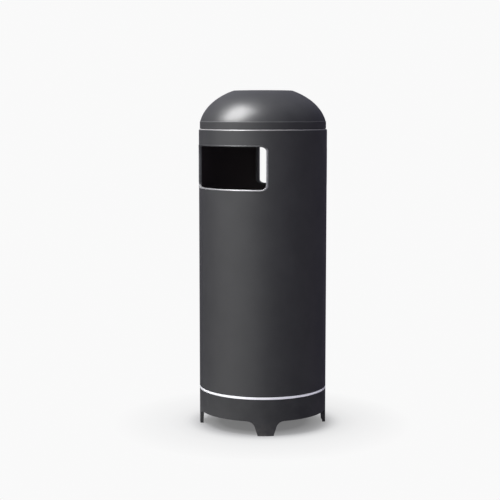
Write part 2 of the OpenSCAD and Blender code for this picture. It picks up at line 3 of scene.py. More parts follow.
import bmesh
import bpy
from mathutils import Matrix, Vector


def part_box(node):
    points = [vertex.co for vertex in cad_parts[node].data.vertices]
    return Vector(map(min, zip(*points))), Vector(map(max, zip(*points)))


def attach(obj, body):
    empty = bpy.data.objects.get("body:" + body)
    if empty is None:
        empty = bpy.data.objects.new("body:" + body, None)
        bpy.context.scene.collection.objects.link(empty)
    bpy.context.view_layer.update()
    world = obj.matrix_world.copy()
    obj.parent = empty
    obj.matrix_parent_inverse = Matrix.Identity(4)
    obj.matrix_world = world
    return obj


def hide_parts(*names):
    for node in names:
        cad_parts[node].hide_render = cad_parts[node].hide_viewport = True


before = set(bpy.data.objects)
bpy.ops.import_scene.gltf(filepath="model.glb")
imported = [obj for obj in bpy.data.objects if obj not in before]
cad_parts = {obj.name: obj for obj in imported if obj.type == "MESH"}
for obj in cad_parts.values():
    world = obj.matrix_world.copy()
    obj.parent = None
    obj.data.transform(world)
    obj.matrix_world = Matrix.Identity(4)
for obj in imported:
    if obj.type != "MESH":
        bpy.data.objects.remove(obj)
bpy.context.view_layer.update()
print("frame loaded:", len(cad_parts), "nodes")

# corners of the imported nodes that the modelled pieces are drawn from
bodyLow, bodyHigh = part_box("body_shell")
rimLow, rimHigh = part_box("rim_ring")
lipLow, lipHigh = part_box("throat_surround_front")
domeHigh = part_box("dome_shell")[1]
skirtLow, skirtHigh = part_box("lid_skirt")
gasketLow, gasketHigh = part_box("lid_gasket")
bandLow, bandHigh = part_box("trim_band")
knobLow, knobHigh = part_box("stub_knob")

# sizes that several pieces and finishes share
shell = {"radius": bodyHigh.x, "foot": bodyLow.z, "top": bodyHigh.z, "wall": 0.0025, "flange": 0.024,
         "edge": 0.0004}
shell["inside"] = shell["radius"] - shell["wall"]

throat = {"lip": 0.005, "corner": 0.013, "cornerSteps": 10, "gap": 0.00025, "proud": 0.001,
          "depth": 0.010, "round": 0.0021, "roundSteps": 4, "cuts": 35, "cutterReach": 0.3}
throat["width"] = 2 * (lipHigh.x - throat["lip"])
throat["height"] = lipHigh.z - lipLow.z - 2 * throat["lip"]
throat["sill"] = lipLow.z + throat["lip"]

# the seam lifts the skirt's lower edge, so that a dark line shows above the rim
skirt = {"radius": skirtHigh.x, "top": skirtHigh.z, "seam": 0.0007, "wall": 0.003, "flange": 0.0165,
         "flangeLow": gasketHigh.z, "round": 0.001, "edge": 0.0003}
skirt["low"] = skirtLow.z + skirt["seam"]
skirt["inside"] = skirt["radius"] - skirt["wall"]

# the dome is part of an ellipse that starts at the rim and passes through the crease and the flat top,
# with its edge turned down and tucked into the skirt; shoulder and brink are the rounds of the flat top
dome = {"rim": rimHigh.z, "crease": skirtHigh.z, "top": domeHigh.z, "foot": skirt["radius"] - skirt["round"],
        "flat": 0.096, "mouth": 0.086, "wall": 0.002, "fit": 0.0001, "tuck": 0.006, "turn": 0.002,
        "bowlStart": 0.003, "outSteps": 48, "inSteps": 40, "shoulder": 0.0022, "shoulderSteps": 5,
        "brink": 0.0009, "brinkSteps": 3, "edge": 0.0003}
lidHeight = dome["top"] - dome["rim"]
skirtHeight = dome["crease"] - dome["rim"]
shared = (dome["foot"] * lidHeight) ** 2 - (dome["flat"] * skirtHeight) ** 2
dome["across"] = math.sqrt(shared / (lidHeight ** 2 - skirtHeight ** 2))
dome["up"] = math.sqrt(shared / (dome["foot"] ** 2 - dome["flat"] ** 2))


# a socket and its tree; arithmetic on it adds Math nodes
class Wire:
    def __init__(self, tree, socket=None):
        self.tree = tree
        self.socket = socket

    def add(self, kind, settings=None, inputs=None, out=0):
        node = self.tree.nodes.new(kind)
        for name, value in (settings or {}).items():
            if name == "stops":
                self.setStops(node.color_ramp, value)
            else:
                setattr(node, name, value)
        for name, value in (inputs or {}).items():
            if isinstance(value, Wire):
                self.tree.links.new(value.socket, node.inputs[name])
            else:
                node.inputs[name].default_value = value
        return Wire(self.tree, node.outputs[out] if node.outputs else None)

    def setStops(self, ramp, stops):
        while len(ramp.elements) < len(stops):
            ramp.elements.new(1.0)
        for element, (place, colour) in zip(ramp.elements, stops):
            element.position = place
            element.color = (*colour, 1.0)

    def calc(self, operation, a, b=0.0, clamp=False):
        return self.add("ShaderNodeMath", {"operation": operation, "use_clamp": clamp}, {0: a, 1: b})

    def __add__(self, other):
        return self.calc("ADD", self, other)

    __radd__ = __add__

    def __sub__(self, other):
        return self.calc("SUBTRACT", self, other)

    def __rsub__(self, other):
        return self.calc("SUBTRACT", other, self)

    def __mul__(self, other):
        return self.calc("MULTIPLY", self, other)

    __rmul__ = __mul__

    def __truediv__(self, other):
        return self.calc("DIVIDE", self, other)

    def __pow__(self, other):
        return self.calc("POWER", self, other)

    # the larger of the two
    def __or__(self, other):
        return self.calc("MAXIMUM", self, other)

    # 0 below low, 1 above high
    def step(self, low, high):
        return self.calc("DIVIDE", self - low, high - low, clamp=True)


def newMaterial(name):
    mat = bpy.data.materials.new(name)
    mat.use_nodes = True
    mat.node_tree.nodes.clear()
    return mat, Wire(mat.node_tree)


def coords(w):
    place = w.add("ShaderNodeTexCoord", out="Object")
    axes = [w.add("ShaderNodeSeparateXYZ", None, {0: place}, out) for out in "XYZ"]
    return place, axes


def noise(w, place, scale, detail=3.0, stretch=(1, 1, 1)):
    if stretch != (1, 1, 1):
        place = w.add("ShaderNodeMapping", None, {"Vector": place, "Scale": stretch})
    return w.add("ShaderNodeTexNoise", None, {"Vector": place, "Scale": scale, "Detail": detail}, "Fac")


# noise whose middle greys are stretched from 0 to 1
def patches(w, place, scale, detail, ends=(0.3, 0.7), stretch=(1, 1, 1)):
    return noise(w, place, scale, detail, stretch).step(*ends)


def mixColour(w, factor, a, b):
    ends = [value if isinstance(value, Wire) else (*value, 1.0) for value in (a, b)]
    return w.add("ShaderNodeMix", {"data_type": "RGBA"}, {0: factor, 6: ends[0], 7: ends[1]}, 2)


def bump(w, height, depth):
    return w.add("ShaderNodeBump", None, {"Height": height, "Distance": depth, "Strength": 1.0})


def output(w, inputs):
    shader = w.add("ShaderNodeBsdfPrincipled", None, inputs)
    w.add("ShaderNodeOutputMaterial", None, {"Surface": shader})


def distance(x, y):
    return (x * x + y * y) ** 0.5


# 0 at the first depth below an edge, 1 at the second
def belowEdge(value, edge, depths):
    return value.step(edge - depths[0], edge - depths[1])


# satin powder coat outside, primer inside or, on the lips, a light grey that is partly scuffed paint and
# partly painted light; bare steel where the edges are rubbed
coat = {"dark": (0.023, 0.023, 0.0242), "light": (0.031, 0.031, 0.0322), "primer": (0.050, 0.039, 0.040),
        "scuffedWithPaintedLight": (0.14, 0.14, 0.142), "steel": (0.62, 0.62, 0.63), "gloss": 0.52, "roughness": 0.35,
        "streakRoughness": 0.05, "speckRoughness": 0.03, "underRoughness": 0.8, "edgeRoughness": 0.3,
        "speckShare": 0.4, "rubbed": 0.42, "rubbedSpread": 0.16, "cloudScale": 14, "speckScale": 420,
        "speckEnds": (0.35, 0.65), "streakScale": 30, "streakStretch": (1, 1, 0.08), "rubbedScale": 160,
        "peelScale": 650, "peelDepth": 0.00004}


def coatMaterial(name, edge, outside, under=coat["primer"]):
    mat, w = newMaterial(name)
    place, (x, y, z) = coords(w)
    cloud = patches(w, place, coat["cloudScale"], 4)
    speck = patches(w, place, coat["speckScale"], 2, coat["speckEnds"])
    streak = patches(w, place, coat["streakScale"], 3, stretch=coat["streakStretch"])
    blend = cloud * (1 - coat["speckShare"]) + speck * coat["speckShare"]
    rough = coat["roughness"] + coat["streakRoughness"] * streak + coat["speckRoughness"] * speck
    out = outside(x, y, z)
    colour = mixColour(w, out, under, mixColour(w, blend, coat["dark"], coat["light"]))
    rough = rough * out + coat["underRoughness"] * (1 - out)
    rubbed = coat["rubbed"] + coat["rubbedSpread"] * patches(w, place, coat["rubbedScale"], 3)
    bare = edge(x, y, z) * rubbed
    output(w, {"Base Color": mixColour(w, bare, colour, coat["steel"]),
               "Metallic": bare,
               "Roughness": rough * (1 - bare) + coat["edgeRoughness"] * bare,
               "Specular IOR Level": coat["gloss"],
               "Normal": bump(w, noise(w, place, coat["peelScale"], 2), coat["peelDepth"])})
    return mat


# depths below an edge at which paint or wear starts and is full, negative past the edge; bowlPaint is
# in parts of the dome's ellipse, and a share is how much of the paint can be rubbed off there
wear = {"wallPaint": (0.0022, 0.0014), "rimIn": (0.0065, 0.0055), "rimDown": (0.0038, 0.0024),
        "rimShare": 0.53, "lipPaint": (0.004, 0.001), "lipFace": (0.0085, -0.0005), "lipDown": (0.006, 0.016),
        "sillUp": (-0.0125, -0.0025), "lipShare": 0.03, "sideShare": 0.75, "sillShare": 0.2,
        "skirtPaint": (-0.0003, -0.0009), "bowlPaint": (0.984, 0.992), "topPaint": (0.0016, 0.001),
        "creaseIn": (0.0009, 0.0003), "creaseDown": (0.0014, 0.0006), "creaseUp": (-0.0012, -0.0004),
        "creaseShare": 0.2}


def outsideShell(x, y, z):
    return belowEdge(distance(x, y), shell["radius"], wear["wallPaint"])


def rimEdge(x, y, z):
    across = belowEdge(distance(x, y), shell["radius"], wear["rimIn"])
    return across * belowEdge(z, dome["rim"], wear["rimDown"]) * wear["rimShare"]


# the part of the lip that is let into the sheet is a light grey: partly scuffed by litter, partly painted
# light on jambs that get little light
def proudLip(x, y, z):
    return belowEdge(distance(x, y), shell["radius"], wear["lipPaint"])


# hands and litter rub the sill most and the top least
def lipEdge(x, y, z):
    face = belowEdge(distance(x, y), shell["radius"], wear["lipFace"])
    sides = belowEdge(z, lipHigh.z, wear["lipDown"])
    sill = belowEdge(z, throat["sill"], wear["sillUp"])
    return face * (wear["lipShare"] + wear["sideShare"] * sides + wear["sillShare"] * sill)


def outsideLid(x, y, z):
    flat = distance(x, y) / dome["across"]
    tall = (z - dome["rim"]) / dome["up"]
    wall = belowEdge(distance(x, y), skirt["inside"], wear["skirtPaint"])
    bowl = (flat * flat + tall * tall).step(*wear["bowlPaint"])
    return wall | bowl | belowEdge(z, dome["top"], wear["topPaint"])


def lidEdge(x, y, z):
    corner = belowEdge(distance(x, y), dome["foot"], wear["creaseIn"])
    lower = belowEdge(z, dome["crease"], wear["creaseDown"])
    upper = belowEdge(z, dome["crease"], wear["creaseUp"])
    return corner * lower * upper * wear["creaseShare"]


shellCoat = coatMaterial("shellCoat", rimEdge, outsideShell)
# the lips' under colour is a light grey that paints light onto the dim jambs, besides the scuffing
lipCoat = coatMaterial("lipCoat", lipEdge, proudLip, coat["scuffedWithPaintedLight"])
lidCoat = coatMaterial("lidCoat", lidEdge, outsideLid)

# thick paint on a sand casting
casting = {"dark": (0.021, 0.021, 0.0222), "light": (0.030, 0.030, 0.0312), "dust": (0.11, 0.10, 0.09),
           "dustHeight": 0.05, "dustShare": 0.35, "gloss": 0.4, "roughness": 0.42, "sandRoughness": 0.12,
           "dustRoughness": 0.2, "sandScale": 240, "cloudScale": 18, "dustScale": 60, "dustEnds": (0.4, 0.7),
           "sandDepth": 0.00018}


def castMaterial():
    mat, w = newMaterial("castPaint")
    place, (x, y, z) = coords(w)
    sand = noise(w, place, casting["sandScale"], 4)
    cloud = patches(w, place, casting["cloudScale"], 3)
    spots = patches(w, place, casting["dustScale"], 4, casting["dustEnds"])
    dust = z.step(casting["dustHeight"], 0.0) * spots
    painted = mixColour(w, cloud, casting["dark"], casting["light"])
    rough = casting["roughness"] + casting["sandRoughness"] * sand + casting["dustRoughness"] * dust
    output(w, {"Base Color": mixColour(w, dust * casting["dustShare"], painted, casting["dust"]),
               "Roughness": rough,
               "Specular IOR Level": casting["gloss"],
               "Normal": bump(w, sand, casting["sandDepth"])})
    return mat


castPaint = castMaterial()


def metalMaterial(name, look):
    mat, w = newMaterial(name)
    place, (x, y, z) = coords(w)
    line = look["pattern"](w, place, x, y, z)
    colour = mixColour(w, line, look["dark"], look["light"])
    rough = look["roughness"] + look["spread"] * line
    if "stain" in look:
        mark = look["stain"](w, place, x, y, z)
        colour = mixColour(w, mark, colour, look["stainColour"])
        rough = rough + look["stainRoughness"] * mark
    output(w, {"Base Color": colour, "Metallic": look.get("metal", 1.0), "Roughness": rough,
               "Normal": bump(w, line, look["depth"])})
    return mat


# patterns: scales are in repeats for each metre
turned = {"scale": 900, "drift": 3}
flowers = {"scale": 95, "grainScale": 400, "grainShare": 0.25}
mottle = {"scale": 90, "grainScale": 900, "grainShare": 0.3}
soot = {"scale": 55, "ends": (0.48, 0.7), "clean": 0.075, "full": 0.03, "share": 0.4}


# fine lines that run round the axis
def turnedLines(w, place, x, y, z):
    across = w.add("ShaderNodeCombineXYZ", None, {0: distance(x, y) * turned["scale"],
                                                  1: z * turned["scale"],
                                                  2: x * turned["drift"]})
    return patches(w, across, 1.0, 3)


def zincFlowers(w, place, x, y, z):
    cell = w.add("ShaderNodeTexVoronoi", {"feature": "F1"},
                 {"Vector": place, "Scale": flowers["scale"]}, "Color")
    shade = w.add("ShaderNodeSeparateColor", None, {0: cell}, "Red")
    grain = noise(w, place, flowers["grainScale"], 3)
    return shade * (1 - flowers["grainShare"]) + grain * flowers["grainShare"]


def mottled(w, place, x, y, z):
    grain = noise(w, place, mottle["grainScale"], 2)
    return patches(w, place, mottle["scale"], 4) * (1 - mottle["grainShare"]) + grain * mottle["grainShare"]


# where cigarettes are put out
def sootMarks(w, place, x, y, z):
    spots = patches(w, place, soot["scale"], 4, soot["ends"])
    return spots * distance(x, y).step(soot["clean"], soot["full"]) * soot["share"]


bandLook = {"dark": (0.88, 0.88, 0.90), "light": (0.97, 0.97, 0.98), "metal": 0.15, "roughness": 0.22,
            "spread": 0.06, "depth": 0.000006, "pattern": turnedLines}
galvanisedLook = {"dark": (0.31, 0.325, 0.335), "light": (0.50, 0.515, 0.525), "roughness": 0.42,
                  "spread": 0.16, "depth": 0.000012, "pattern": zincFlowers}
stainlessLook = {"dark": (0.50, 0.50, 0.51), "light": (0.68, 0.68, 0.69), "roughness": 0.24, "spread": 0.12,
                 "depth": 0.00001, "pattern": turnedLines, "stain": sootMarks,
                 "stainColour": (0.03, 0.028, 0.026), "stainRoughness": 0.25}
zincLook = {"dark": (0.40, 0.41, 0.42), "light": (0.56, 0.56, 0.54), "roughness": 0.34, "spread": 0.12,
            "depth": 0.00001, "pattern": mottled}
bronzeLook = {"dark": (0.40, 0.26, 0.10), "light": (0.62, 0.44, 0.20), "roughness": 0.30, "spread": 0.14,
              "depth": 0.00001, "pattern": mottled}

bandMetal = metalMaterial("bandMetal", bandLook)
galvanised = metalMaterial("galvanisedSheet", galvanisedLook)
stainless = metalMaterial("brushedStainless", stainlessLook)
zincPlate = metalMaterial("zincPlate", zincLook)
bronze = metalMaterial("bearingBronze", bronzeLook)

fittingLook = {"dark": (0.026, 0.026, 0.028), "light": (0.038, 0.038, 0.04), "roughness": 0.4, "spread": 0.1,
               "peelScale": 500, "peelDepth": 0.00005}
rubberLook = {"dark": (0.008, 0.008, 0.008), "light": (0.022, 0.022, 0.021), "roughness": 0.62, "spread": 0.2,
              "bloomScale": 60, "bloomEnds": (0.35, 0.75), "grainScale": 1200, "grainDepth": 0.00003}


def fittingMaterial():
    mat, w = newMaterial("fittingPaint")
    place, axes = coords(w)
    cloud = mottled(w, place, *axes)
    peel = noise(w, place, fittingLook["peelScale"], 2)
    output(w, {"Base Color": mixColour(w, cloud, fittingLook["dark"], fittingLook["light"]),
               "Roughness": fittingLook["roughness"] + fittingLook["spread"] * cloud,
               "Normal": bump(w, peel, fittingLook["peelDepth"])})
    return mat


def rubberMaterial():
    mat, w = newMaterial("gasketRubber")
    place = coords(w)[0]
    bloom = patches(w, place, rubberLook["bloomScale"], 4, rubberLook["bloomEnds"])
    grain = noise(w, place, rubberLook["grainScale"], 2)
    output(w, {"Base Color": mixColour(w, bloom, rubberLook["dark"], rubberLook["light"]),
               "Roughness": rubberLook["roughness"] + rubberLook["spread"] * bloom,
               "Normal": bump(w, grain, rubberLook["grainDepth"])})
    return mat


fittingPaint = fittingMaterial()
gasketRubber = rubberMaterial()
print("finishes ready")


samePlace = 1e-5  # points nearer than this are one corner
weld = 1e-6


def startFresh():
    if bpy.context.object and bpy.context.object.mode == "EDIT":
        bpy.ops.object.mode_set(mode="OBJECT")
    bpy.ops.object.select_all(action="DESELECT")


def editAll():
    bpy.ops.object.mode_set(mode="EDIT")
    bpy.ops.mesh.select_mode(type="VERT")
    bpy.ops.mesh.select_all(action="SELECT")


# picks points or edges by their place, in edit mode
def pick(kind, test):
    bpy.ops.mesh.select_mode(type=kind)
    bpy.ops.mesh.select_all(action="DESELECT")
    mesh = bpy.context.object.data
    shape = bmesh.from_edit_mesh(mesh)
    for part in shape.verts if kind == "VERT" else shape.edges:
        part.select = test(part)
    shape.select_flush_mode()
    bmesh.update_edit_mesh(mesh)


# one point is drawn out along a line of radius and height
def traceProfile(name, line, closed=True):
    startFresh()
    bpy.ops.mesh.primitive_plane_add(size=0.01)
    piece = bpy.context.object
    piece.name = name
    editAll()
    bpy.ops.mesh.merge(type="CENTER")
    points = [Vector((r, 0, z)) for r, z in line]
    bpy.ops.transform.translate(value=points[0])
    for here, there in zip(points, points[1:]):
        bpy.ops.mesh.extrude_region_move(TRANSFORM_OT_translate={"value": there - here})
    if closed:
        pick("VERT", lambda point: len(point.link_edges) == 1)
        bpy.ops.mesh.edge_face_add()
    return piece


def roundCorner(r, z, width, segments=4):
    pick("VERT", lambda point: max(abs(point.co.x - r), abs(point.co.z - z)) < samePlace)
    bpy.ops.mesh.bevel(offset=width, segments=segments, affect="VERTICES")


def spinRound(steps=256):
    bpy.ops.mesh.select_all(action="SELECT")
    bpy.ops.mesh.spin(steps=steps, angle=math.tau, center=(0, 0, 0), axis=(0, 0, 1))
    bpy.ops.mesh.select_all(action="SELECT")
    bpy.ops.mesh.remove_doubles(threshold=weld)
    bpy.ops.mesh.normals_make_consistent(inside=False)
    bpy.ops.object.mode_set(mode="OBJECT")


def useModifier(piece, kind, **settings):
    bpy.context.view_layer.objects.active = piece
    tool = piece.modifiers.new(kind.title(), kind)
    for name, value in settings.items():
        setattr(tool, name, value)
    bpy.ops.object.modifier_apply(modifier=tool.name)


def softEdges(piece, width, segments=2, angle=35):
    startFresh()
    piece.select_set(True)
    useModifier(piece, "BEVEL", width=width, segments=segments, limit_method="ANGLE",
                angle_limit=math.radians(angle))
    bpy.ops.object.shade_smooth_by_angle(angle=math.radians(angle))
    useModifier(piece, "WEIGHTED_NORMAL", keep_sharp=True)


def cutAway(piece, cutter):
    startFresh()
    piece.select_set(True)
    useModifier(piece, "BOOLEAN", operation="DIFFERENCE", object=cutter, solver="EXACT")
    startFresh()
    cutter.select_set(True)
    bpy.ops.object.delete()


def dress(piece, finish, body, node):
    piece.data.materials.clear()
    piece.data.materials.append(finish)
    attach(piece, body)
    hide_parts(node)


nodeCopy = {"weld": 2e-6, "flat": 0.4, "angle": 40}


# a CAD node's own mesh with its edges broken
def edgedCopy(node, width, segments):
    startFresh()
    piece = bpy.data.objects.new(node + "Piece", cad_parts[node].data.copy())
    bpy.context.scene.collection.objects.link(piece)
    piece.select_set(True)
    bpy.context.view_layer.objects.active = piece
    editAll()
    bpy.ops.mesh.remove_doubles(threshold=nodeCopy["weld"])
    bpy.ops.mesh.dissolve_limited(angle_limit=math.radians(nodeCopy["flat"]))
    bpy.ops.object.mode_set(mode="OBJECT")
    softEdges(piece, width, segments, nodeCopy["angle"])
    return piece


# a rounded outline that stands in the plane of the throat
def throatOutline(grow):
    startFresh()
    bpy.ops.mesh.primitive_plane_add(size=1)
    piece = bpy.context.object
    editAll()
    bpy.ops.transform.resize(value=(throat["width"] + 2 * grow, throat["height"] + 2 * grow, 1))
    bpy.ops.mesh.bevel(offset=throat["corner"] + grow, segments=throat["cornerSteps"], affect="VERTICES")
    bpy.ops.object.mode_set(mode="OBJECT")
    piece.rotation_euler = (math.radians(90), 0, 0)
    piece.location = (0, 0, throat["sill"] + throat["height"] / 2)
    bpy.ops.object.transform_apply(location=True, rotation=True, scale=True)
    return piece


def makeShell():
    s = shell
    flangeIn = s["radius"] - s["flange"]
    piece = traceProfile("bodyShellPiece", [
        (flangeIn, s["foot"]), (s["radius"], s["foot"]), (s["radius"], s["top"]), (s["inside"], s["top"]),
        (s["inside"], s["foot"] + s["wall"]), (flangeIn, s["foot"] + s["wall"])])
    spinRound()
    cutter = throatOutline(throat["lip"] + throat["gap"])
    editAll()
    bpy.ops.transform.translate(value=(0, -throat["cutterReach"], 0))
    bpy.ops.mesh.extrude_region_move(TRANSFORM_OT_translate={"value": (0, 2 * throat["cutterReach"], 0)})
    bpy.ops.mesh.select_all(action="SELECT")
    bpy.ops.mesh.normals_make_consistent(inside=False)
    bpy.ops.object.mode_set(mode="OBJECT")
    cutAway(piece, cutter)
    softEdges(piece, s["edge"])
    dress(piece, shellCoat, "bin", "body_shell")


makeShell()

rim = {"low": rimLow.z, "top": rimHigh.z, "flange": 0.022, "innerBend": 0.002, "bendSteps": 8, "edge": 0.0002}


def makeRim():
    r = rim
    flangeIn = shell["radius"] - r["flange"]
    under = r["top"] - shell["wall"]
    piece = traceProfile("rimRingPiece", [
        (flangeIn, r["top"]), (shell["radius"], r["top"]), (shell["radius"], r["low"]),
        (shell["inside"], r["low"]), (shell["inside"], under), (flangeIn, under)])
    roundCorner(shell["radius"], r["top"], r["top"] - r["low"] - 2 * r["edge"], r["bendSteps"])
    roundCorner(shell["inside"], under, r["innerBend"])
    spinRound()
    softEdges(piece, r["edge"])
    dress(piece, shellCoat, "bin", "rim_ring")


makeRim()


# the lip is an upright frame with a full round face, laid on the body's curve
def makeLip():
    piece = throatOutline(throat["lip"])
    editAll()
    bpy.ops.mesh.inset(thickness=throat["lip"])
    bpy.ops.mesh.delete(type="FACE")
    # the straight sides need points in between to take the curve
    pick("EDGE", lambda edge: edge.calc_length() > throat["corner"] + throat["lip"])
    bpy.ops.mesh.subdivide(number_cuts=throat["cuts"])
    bpy.ops.mesh.select_all(action="SELECT")
    bpy.ops.mesh.extrude_region_move(TRANSFORM_OT_translate={"value": (0, throat["depth"], 0)})
    bpy.ops.mesh.select_all(action="SELECT")
    bpy.ops.mesh.normals_make_consistent(inside=False)
    bpy.ops.object.mode_set(mode="OBJECT")
    softEdges(piece, throat["round"], throat["roundSteps"])
    face = shell["radius"] + throat["proud"]
    for point in piece.data.vertices:
        point.co.y = -math.sqrt((face - point.co.y) ** 2 - point.co.x ** 2)
    return piece


def makeSurrounds():
    front = makeLip()
    front.name = "frontLip"
    startFresh()
    front.select_set(True)
    bpy.context.view_layer.objects.active = front
    bpy.ops.object.duplicate()
    rear = bpy.context.object
    rear.name = "rearLip"
    editAll()
    bpy.ops.transform.rotate(value=math.pi, orient_axis="Z", center_override=(0, 0, 0))
    bpy.ops.object.mode_set(mode="OBJECT")
    dress(front, lipCoat, "bin", "throat_surround_front")
    dress(rear, lipCoat, "bin", "throat_surround_rear")


makeSurrounds()
print("body, rim and throats made")


# points of the dome's ellipse between two heights
def ellipse(inset, low, high, count):
    across = dome["across"] - inset
    up = dome["up"] - inset
    first = math.asin((low - dome["rim"]) / up)
    last = math.asin((high - dome["rim"]) / up)
    angles = [first + (last - first) * i / count for i in range(count + 1)]
    return [(across * math.cos(a), dome["rim"] + up * math.sin(a)) for a in angles]


def makeDome():
    d = dome
    out = skirt["inside"] - d["fit"]
    tuck = d["crease"] - d["tuck"]
    line = ellipse(0, d["crease"], d["top"], d["outSteps"])
    line += [(d["mouth"], d["top"]), (d["mouth"], d["top"] - d["wall"])]
    line += ellipse(d["wall"], d["crease"] + d["bowlStart"], d["top"] - d["wall"], d["inSteps"])[::-1]
    line += [(out - d["wall"], d["crease"] + d["turn"]), (out - d["wall"], tuck)]
    line += [(out, tuck), (out, d["crease"])]
    piece = traceProfile("domePiece", line)
    roundCorner(d["flat"], d["top"], d["shoulder"], d["shoulderSteps"])
    roundCorner(d["mouth"], d["top"], d["brink"], d["brinkSteps"])
    spinRound()
    softEdges(piece, d["edge"])
    dress(piece, lidCoat, "lid", "dome_shell")


makeDome()


def makeSkirt():
    s = skirt
    flangeIn = s["radius"] - s["flange"]
    flangeHigh = s["flangeLow"] + s["wall"]
    piece = traceProfile("skirtPiece", [
        (s["radius"], s["low"]), (s["radius"], s["top"]), (s["inside"], s["top"]), (s["inside"], flangeHigh),
        (flangeIn, flangeHigh), (flangeIn, s["flangeLow"]), (s["inside"], s["flangeLow"]),
        (s["inside"], s["low"])])
    roundCorner(s["radius"], s["top"], s["round"])
    spinRound()
    softEdges(piece, s["edge"])
    dress(piece, lidCoat, "lid", "lid_skirt")


makeSkirt()

gasket = {"radius": gasketHigh.x, "low": gasketLow.z, "top": gasketHigh.z, "width": 0.008, "round": 0.0013,
          "edge": 0.0002, "spin": 192}


def makeGasket():
    g = gasket
    inside = g["radius"] - g["width"]
    piece = traceProfile("gasketPiece", [
        (inside, g["low"]), (g["radius"], g["low"]), (g["radius"], g["top"]), (inside, g["top"])])
    roundCorner(g["radius"], g["top"], g["round"])
    roundCorner(inside, g["top"], g["round"])
    spinRound(g["spin"])
    softEdges(piece, g["edge"])
    dress(piece, gasketRubber, "bin", "lid_gasket")


makeGasket()

band = {"radius": bandHigh.x, "low": bandLow.z, "top": bandHigh.z, "width": 0.0243, "round": 0.0008,
        "roundSteps": 3, "edge": 0.0002}


def makeBand():
    b = band
    inside = b["radius"] - b["width"]
    piece = traceProfile("bandPiece", [
        (inside, b["low"]), (b["radius"], b["low"]), (b["radius"], b["top"]), (inside, b["top"])])
    roundCorner(b["radius"], b["low"], b["round"], b["roundSteps"])
    roundCorner(b["radius"], b["top"], b["round"], b["roundSteps"])
    spinRound()
    softEdges(piece, b["edge"])
    dress(piece, bandMetal, "bin", "trim_band")


makeBand()
print("lid, gasket and band made")

knob = {"low": knobLow.z, "top": knobHigh.z, "radius": knobHigh.x, "dome": 1.6, "steps": 10, "head": 0.007,
        "stem": 0.007, "bore": 0.00305, "cap": 0.004, "round": 0.0014, "underRound": 0.0007,
        "underSteps": 3, "neck": 0.002, "edge": 0.0003, "spin": 96}


# a turned knob, screwed on from below
def makeKnob():
    k = knob
    bow = k["radius"] * k["dome"]
    tilt = math.asin(k["radius"] / bow)
    under = k["top"] - k["head"]
    angles = [tilt * i / k["steps"] for i in range(k["steps"] + 1)]
    line = [(bow * math.sin(a), k["top"] - bow + bow * math.cos(a)) for a in angles]
    shoulder = line[-1]
    line += [(k["radius"], under), (k["stem"], under), (k["stem"], k["low"]), (k["bore"], k["low"]),
             (k["bore"], k["top"] - k["cap"]), (0, k["top"] - k["cap"])]
    piece = traceProfile("knobPiece", line, closed=False)
    roundCorner(*shoulder, k["round"])
    roundCorner(k["radius"], under, k["underRound"], k["underSteps"])
    roundCorner(k["stem"], under, k["neck"])
    spinRound(k["spin"])
    softEdges(piece, k["edge"])
    dress(piece, stainless, "stubber", "stub_knob")


makeKnob()
print("knob made")

# what keeps its machined shape, with broken edges: node, edge, segments, finish, body, slot
edgedPieces = [
    ("base_ring", 0.0016, 3, castPaint, "bin", "painted_base"),
    ("floor_plate", 0.0003, 2, galvanised, "bin", "galvanised"),
    ("floor_screws", 0.0005, 3, zincPlate, "bin", "zinc_hardware"),
    ("joint_bolts", 0.0005, 2, zincPlate, "bin", "zinc_hardware"),
    ("joint_nuts", 0.0004, 2, zincPlate, "bin", "zinc_hardware"),
    ("hinge_body_leaf", 0.0003, 2, fittingPaint, "bin", "painted_fittings"),
    ("hinge_pin", 0.0006, 3, zincPlate, "bin", "zinc_hardware"),
    ("hinge_body_rivets", 0.0014, 4, zincPlate, "bin", "zinc_hardware"),
    ("ash_seat", 0.0004, 2, fittingPaint, "lid", "painted_fittings"),
    ("hinge_lid_leaf", 0.0003, 2, fittingPaint, "lid", "painted_fittings"),
    ("hinge_lid_rivets", 0.0014, 4, zincPlate, "lid", "zinc_hardware"),
    ("lock_bracket", 0.0004, 2, fittingPaint, "lid", "painted_fittings"),
    ("lock_bush", 0.0003, 2, bronze, "lid", "bronze"),
    ("lock_spindle", 0.0004, 2, zincPlate, "lock", "zinc_hardware"),
    ("lock_cam", 0.0004, 2, zincPlate, "lock", "zinc_hardware"),
    ("lock_nut", 0.0004, 2, zincPlate, "lock", "zinc_hardware"),
    ("spindle_collar", 0.0004, 2, zincPlate, "lock", "zinc_hardware"),
    ("ash_pan", 0.0004, 2, galvanised, "ash_insert", "galvanised"),
    ("stub_plate", 0.0004, 2, stainless, "stubber", "stainless"),
    ("knob_bolt", 0.0003, 2, zincPlate, "stubber", "zinc_hardware"),
    ("liner_bucket", 0.0002, 2, galvanised, "liner", "galvanised"),
    ("liner_lugs", 0.0004, 2, zincPlate, "liner", "zinc_hardware"),
    ("liner_handle_left", 0.0004, 2, zincPlate, "left_handle", "zinc_hardware"),
    ("liner_handle_right", 0.0004, 2, zincPlate, "right_handle", "zinc_hardware"),
]
for node, edge, segments, finish, body, slot in edgedPieces:
    dress(edgedCopy(node, edge, segments), finish, body, node)
print("base and fittings made")

# CAD nodes under the pieces keep a finish of their own
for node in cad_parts.values():
    node.data.materials.clear()
    node.data.materials.append(fittingPaint)

# the photograph's camera, from a fit of the body's outline
camera = {"azimuth": 42.9, "distance": 4.1219, "aside": 0.0423, "height": 1.0297, "pitch": 6.28,
          "lens": 90.12, "sensor": 36}
turn = math.radians(camera["azimuth"])
back = Vector((math.sin(turn), -math.cos(turn), 0))
right = Vector((math.cos(turn), math.sin(turn), 0))


def placeCamera():
    startFresh()
    place = camera["distance"] * back - camera["aside"] * right
    bpy.ops.object.camera_add(location=(place.x, place.y, camera["height"]),
                              rotation=(math.radians(90 - camera["pitch"]), 0, turn))
    cam = bpy.context.object
    cam.data.lens = camera["lens"]
    cam.data.sensor_width = camera["sensor"]
    bpy.context.scene.camera = cam


placeCamera()

